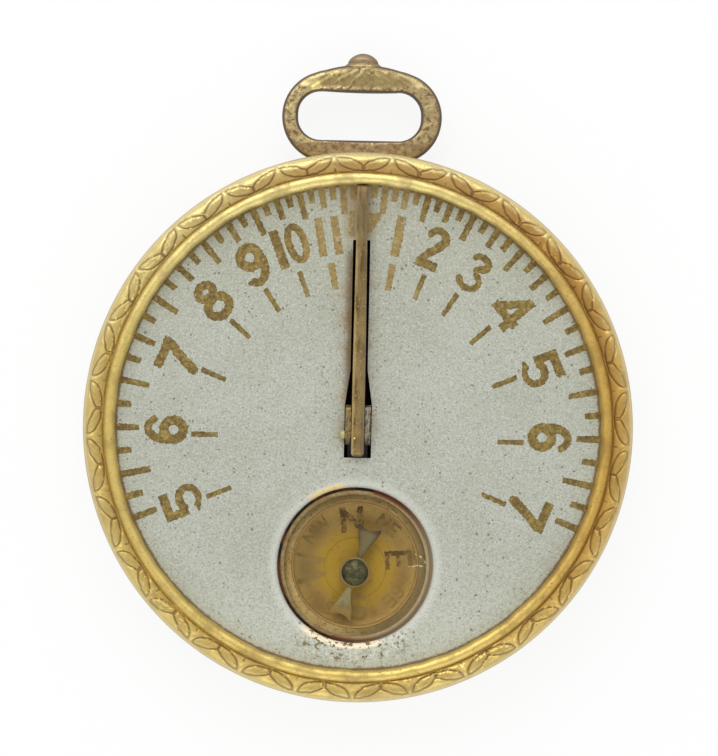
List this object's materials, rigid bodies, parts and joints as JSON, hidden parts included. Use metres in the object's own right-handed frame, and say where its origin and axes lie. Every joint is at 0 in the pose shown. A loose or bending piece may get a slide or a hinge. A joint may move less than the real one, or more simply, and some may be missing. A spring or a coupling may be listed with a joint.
{
  "type": "pocket sundial compass",
  "caption": "Thin round pocket case with a painted hour dial, a gnomon blade that folds into the dial, a small compass let into the dial and a strap loop.",
  "frame": {"origin": "middle of the flat back face", "axes": "+Z out of the dial, +Y towards the bow at 12 o'clock, +X towards 3 o'clock"},
  "size_m": [0.048, 0.0569, 0.0074],
  "materials": {
    "gilt": "worn gilding, satin band and polished bead",
    "bow_brass": "aged brown brass",
    "dial_paint": "matt silver-grey paint, specked",
    "hinge_brass": "dull brass",
    "blade_brass": "brushed, browned",
    "spring_steel": "blued strip",
    "bowl_brass": "dull aged brass",
    "card_print": "matt amber print",
    "crystal": "clear, scratched",
    "needle_steel": "blued and greyed",
    "cap_steel": "dark dome",
    "jewel": "polished"
  },
  "bodies": {
    "case": {"case_back": "gilt", "bezel": "gilt", "bow": "bow_brass", "dial_plate": "dial_paint", "hinge_bracket": "hinge_brass", "bracket_rivets": "hinge_brass", "hinge_pin": "hinge_brass", "gnomon_spring": "spring_steel", "spring_rivet": "hinge_brass", "compass_bowl": "bowl_brass", "compass_card": "card_print", "glass_ring": "bowl_brass", "compass_crystal": "crystal", "pivot_post": "bowl_brass"},
    "gnomon": {"gnomon_blade": "blade_brass"},
    "compass_needle": {"needle": "needle_steel", "needle_cap": "cap_steel", "needle_jewel": "jewel"}
  },
  "joints": [
    {"name": "gnomon_fold", "type": "hinge", "parent": "case", "child": "gnomon", "pos_m": [0, -0.00065, 0.00645], "axis": [1, 0, 0], "range_deg": [0, 41]},
    {"name": "needle_spin", "type": "hinge", "parent": "case", "child": "compass_needle", "pos_m": [0, -0.01276, 0.0037], "axis": [0, 0, 1], "continuous": true}
  ]
}
